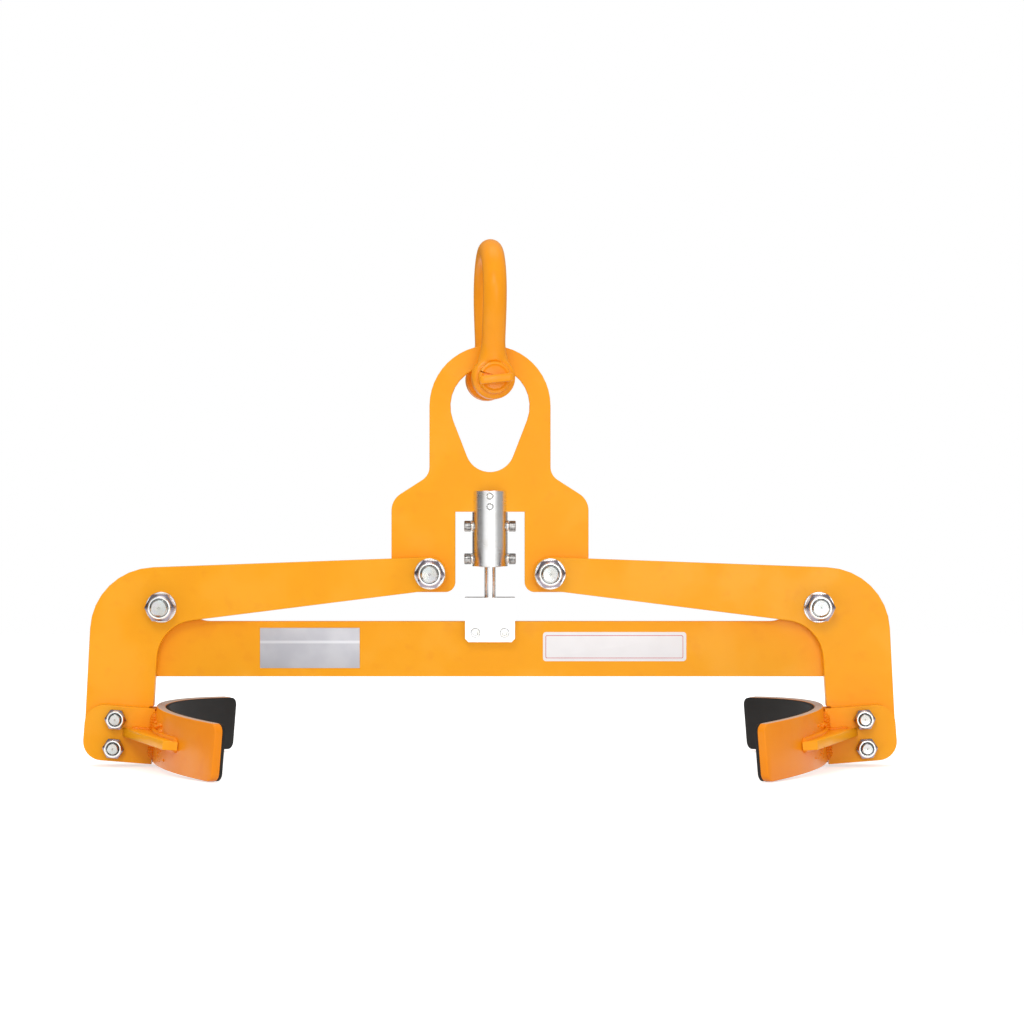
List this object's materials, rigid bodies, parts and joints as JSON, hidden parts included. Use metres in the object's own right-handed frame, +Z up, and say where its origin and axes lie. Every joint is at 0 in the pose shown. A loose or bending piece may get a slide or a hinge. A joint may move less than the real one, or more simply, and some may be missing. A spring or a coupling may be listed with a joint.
{
  "type": "drum lifter",
  "caption": "Scissor drum clamp: two pivoting L arms with curved rubber-lined pads, a cross beam, an eye plate with a bow shackle and an automatic latch.",
  "frame": {"origin": "centre of the bounding box's base, on the surface that the pads' lower edges stand on", "axes": "+X along the cross beam, to the right as seen from the front; -Y is the front, where the nuts are; +Z up"},
  "size_m": [0.734, 0.355, 0.4779],
  "materials": {
    "orange_paint": "glossy orange powder coat",
    "zinc_plate": "bright zinc plate",
    "turned_steel": "turned bright steel",
    "black_oxide": "black oxide",
    "milled_aluminium": "milled",
    "black_rubber": "matt"
  },
  "bodies": {
    "beam": {"cross_beam": "orange_paint", "saddle": "milled_aluminium", "saddle_screw_left": "zinc_plate", "saddle_screw_right": "zinc_plate", "left_outer_pivot_bolt": "zinc_plate", "left_outer_pivot_front_washer": "zinc_plate", "left_outer_pivot_rear_washer": "zinc_plate", "left_outer_pivot_nut": "zinc_plate", "right_outer_pivot_bolt": "zinc_plate", "right_outer_pivot_front_washer": "zinc_plate", "right_outer_pivot_rear_washer": "zinc_plate", "right_outer_pivot_nut": "zinc_plate"},
    "lifter": {"lifting_plate": "orange_paint", "sleeve": "turned_steel", "sleeve_pin_lower": "zinc_plate", "sleeve_pin_upper": "zinc_plate", "cam_screw_left_upper": "black_oxide", "cam_washer_left_upper": "zinc_plate", "cam_screw_left_lower": "black_oxide", "cam_washer_left_lower": "zinc_plate", "cam_screw_right_upper": "black_oxide", "cam_washer_right_upper": "zinc_plate", "cam_screw_right_lower": "black_oxide", "cam_washer_right_lower": "zinc_plate"},
    "left_arm": {"left_arm_plate": "orange_paint", "left_shoe_front_tab": "orange_paint", "left_shoe_rear_tab": "orange_paint", "left_pad_plate": "orange_paint", "left_rubber_lining": "black_rubber", "left_front_gusset": "orange_paint", "left_rear_gusset": "orange_paint", "left_upper_pad_bolt": "zinc_plate", "left_lower_pad_bolt": "zinc_plate", "left_upper_pad_nut": "zinc_plate", "left_lower_pad_nut": "zinc_plate", "left_inner_pivot_bolt": "zinc_plate", "left_inner_pivot_front_washer": "zinc_plate", "left_inner_pivot_rear_washer": "zinc_plate", "left_inner_pivot_nut": "zinc_plate"},
    "right_arm": {"right_arm_plate": "orange_paint", "right_shoe_front_tab": "orange_paint", "right_shoe_rear_tab": "orange_paint", "right_pad_plate": "orange_paint", "right_rubber_lining": "black_rubber", "right_front_gusset": "orange_paint", "right_rear_gusset": "orange_paint", "right_upper_pad_bolt": "zinc_plate", "right_lower_pad_bolt": "zinc_plate", "right_upper_pad_nut": "zinc_plate", "right_lower_pad_nut": "zinc_plate", "right_inner_pivot_bolt": "zinc_plate", "right_inner_pivot_front_washer": "zinc_plate", "right_inner_pivot_rear_washer": "zinc_plate", "right_inner_pivot_nut": "zinc_plate"},
    "index_rod": {"index_rod": "turned_steel"},
    "shackle": {"shackle_bow": "orange_paint", "shackle_pin": "orange_paint"}
  },
  "joints": [
    {"name": "lift", "type": "slide", "parent": "beam", "child": "lifter", "axis": [0, 0, 1], "range_m": [-0.0063, 0.0252]},
    {"name": "left_arm_swing", "type": "hinge", "parent": "beam", "child": "left_arm", "pos_m": [-0.2973, 0, 0.14329], "axis": [0, 1, 0], "range_deg": [-6, 1.5]},
    {"name": "right_arm_swing", "type": "hinge", "parent": "beam", "child": "right_arm", "pos_m": [0.2973, 0, 0.14329], "axis": [0, 1, 0], "range_deg": [-1.5, 6]},
    {"name": "index_turn", "type": "hinge", "parent": "beam", "child": "index_rod", "pos_m": [0, 0.0126, 0.14], "axis": [0, 0, 1], "range_deg": [0, 90]},
    {"name": "shackle_swing", "type": "hinge", "parent": "lifter", "child": "shackle", "pos_m": [0, 0.0126, 0.35042], "axis": [-0.1132, 0.9936, 0], "range_deg": [-120, 120]}
  ],
  "couplings": [
    {"joint": "left_arm_swing", "follows": "lift", "rad_per_m": -4.14},
    {"joint": "right_arm_swing", "follows": "lift", "rad_per_m": 4.14}
  ]
}
